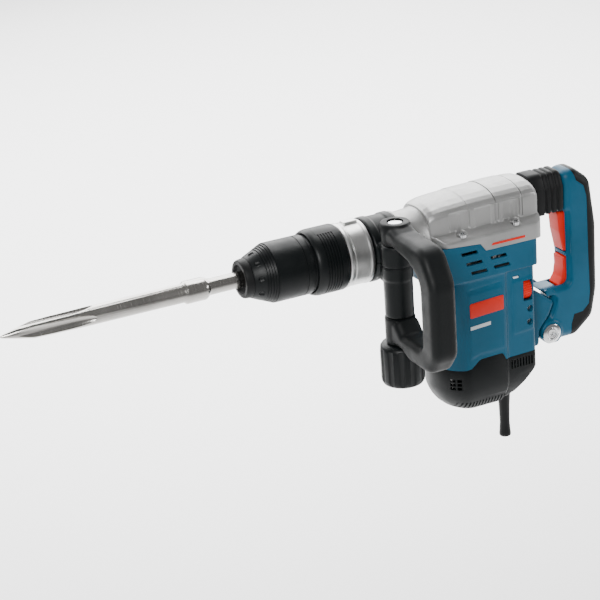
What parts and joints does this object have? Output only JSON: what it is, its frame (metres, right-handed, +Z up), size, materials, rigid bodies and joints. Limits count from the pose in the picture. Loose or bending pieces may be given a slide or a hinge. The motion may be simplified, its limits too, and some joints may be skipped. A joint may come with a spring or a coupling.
{
  "type": "demolition hammer",
  "caption": "Electric demolition hammer with upright motor, locking chuck holding a point chisel, clamped loop side handle and sprung D-shaped rear handle.",
  "frame": {"origin": "on the striking axis, at the front end of the neck collar behind the silver front flange", "axes": "+X along the striking axis to the rear handle, the chisel points to -X; +Z up, the motor hangs down to -Z; the side handle is on the -Y side"},
  "size_m": [0.7305, 0.2023, 0.3265],
  "materials": {
    "casting": "satin cast",
    "rubber": "matte moulded",
    "steel": "turned",
    "chrome": "polished",
    "copper": "wound copper",
    "carbon": "sintered",
    "board": "lacquered",
    "blue_plastic": "fine moulded grain",
    "red_plastic": "smooth moulded",
    "lamp": "clear",
    "black_plastic": "moulded, glass filled"
  },
  "bodies": {
    "machine": {"front_flange": "casting", "holder_seal": "rubber", "front_bearing": "steel", "cylinder": "steel", "crank_bearing_upper": "steel", "crank_bearing_lower": "steel", "stator": "steel", "motor_bearing_upper": "steel", "motor_bearing_lower": "steel", "carbon_brush_left": "carbon", "carbon_brush_right": "carbon", "bearing_plate": "casting", "circuit_board": "board", "motor_housing": "blue_plastic", "side_screw_1": "steel", "side_screw_2": "steel", "status_lamp": "lamp", "motor_cap": "black_plastic", "cable_sleeve": "rubber", "gear_housing": "casting", "case_screw_1": "steel", "case_screw_2": "steel", "case_screw_3": "steel", "case_screw_4": "steel", "bellows": "rubber", "damper_spring": "steel", "pivot_bolt": "chrome", "pivot_nut": "chrome"},
    "holder": {"tool_holder": "steel", "dust_cap": "rubber", "locking_roller_left": "steel", "locking_roller_right": "steel", "lock_spring": "steel"},
    "sleeve": {"locking_sleeve": "black_plastic"},
    "ring": {"angle_ring": "black_plastic"},
    "point_chisel": {"chisel": "steel"},
    "anvil": {"impact_bolt": "steel"},
    "ram": {"striker": "steel"},
    "drive_piston": {"piston": "casting", "wrist_pin": "steel"},
    "rod": {"connecting_rod": "steel"},
    "crank": {"crankshaft": "steel", "crank_gear": "steel"},
    "armature": {"armature_shaft": "steel", "armature_core": "copper", "commutator": "copper", "fan": "black_plastic"},
    "dial": {"speed_dial": "red_plastic"},
    "rear_handle": {"handle_rubber": "rubber", "handle_shell_left": "blue_plastic", "handle_shell_right": "blue_plastic", "switch_body": "black_plastic"},
    "rocker": {"on_paddle": "red_plastic", "off_paddle": "red_plastic", "rocker_link": "black_plastic"},
    "clamp": {"clamp_jaw_upper": "black_plastic", "clamp_jaw_lower": "black_plastic", "clamp_bolt": "steel"},
    "loop": {"loop_handle": "black_plastic"},
    "knob": {"clamp_knob": "black_plastic"}
  },
  "joints": [
    {"name": "holder_turn", "type": "hinge", "parent": "machine", "child": "holder", "pos_m": [0, 0, 0], "axis": [1, 0, 0], "continuous": true},
    {"name": "sleeve_slide", "type": "slide", "parent": "holder", "child": "sleeve", "axis": [1, 0, 0], "range_m": [0, 0.008], "stiffness_N_per_m": 1200, "springref_m": -0.003, "deforming": ["lock_spring"]},
    {"name": "ring_slide", "type": "slide", "parent": "holder", "child": "ring", "axis": [-1, 0, 0], "range_m": [0, 0.0022], "stiffness_N_per_m": 1500, "springref_m": -0.002, "deforming": ["lock_spring"]},
    {"name": "chisel_slide", "type": "slide", "parent": "holder", "child": "point_chisel", "axis": [-1, 0, 0], "range_m": [0, 0.012]},
    {"name": "anvil_slide", "type": "slide", "parent": "holder", "child": "anvil", "axis": [1, 0, 0], "range_m": [0, 0.006]},
    {"name": "ram_slide", "type": "slide", "parent": "machine", "child": "ram", "axis": [1, 0, 0], "range_m": [0, 0.018]},
    {"name": "piston_slide", "type": "slide", "parent": "machine", "child": "drive_piston", "axis": [1, 0, 0], "range_m": [0, 0.026]},
    {"name": "rod_swing", "type": "hinge", "parent": "drive_piston", "child": "rod", "pos_m": [0.11, 0, 0], "axis": [0, 0, 1], "range_deg": [-16, 16]},
    {"name": "crank_turn", "type": "hinge", "parent": "machine", "child": "crank", "pos_m": [0.165, 0, 0], "axis": [0, 0, 1], "continuous": true},
    {"name": "armature_turn", "type": "hinge", "parent": "machine", "child": "armature", "pos_m": [0.125, 0, 0], "axis": [0, 0, 1], "continuous": true},
    {"name": "dial_turn", "type": "hinge", "parent": "machine", "child": "dial", "pos_m": [0.1903, -0.0285, -0.0805], "axis": [1, 0, 0], "range_deg": [-150, 150]},
    {"name": "handle_spring", "type": "hinge", "parent": "machine", "child": "rear_handle", "pos_m": [0.2343, 0, -0.1532], "axis": [0, -1, 0], "range_deg": [0, 1.5], "stiffness_Nm_per_rad": 300, "springref_deg": -0.29, "deforming": ["bellows", "damper_spring"]},
    {"name": "rocker_tilt", "type": "hinge", "parent": "rear_handle", "child": "rocker", "pos_m": [0.263, 0, -0.062], "axis": [0, 1, 0], "range_deg": [0, 4.5]},
    {"name": "clamp_turn", "type": "hinge", "parent": "machine", "child": "clamp", "pos_m": [0.019, 0, 0], "axis": [1, 0, 0], "continuous": true},
    {"name": "loop_swing", "type": "hinge", "parent": "clamp", "child": "loop", "pos_m": [0.0175, -0.05, 0], "axis": [0, 0, -1], "range_deg": [-15, 60]},
    {"name": "knob_turn", "type": "hinge", "parent": "clamp", "child": "knob", "pos_m": [0.0175, -0.05, 0], "axis": [0, 0, 1], "continuous": true}
  ],
  "couplings": [
    {"joint": "armature_turn", "follows": "crank_turn", "ratio": -4}
  ]
}
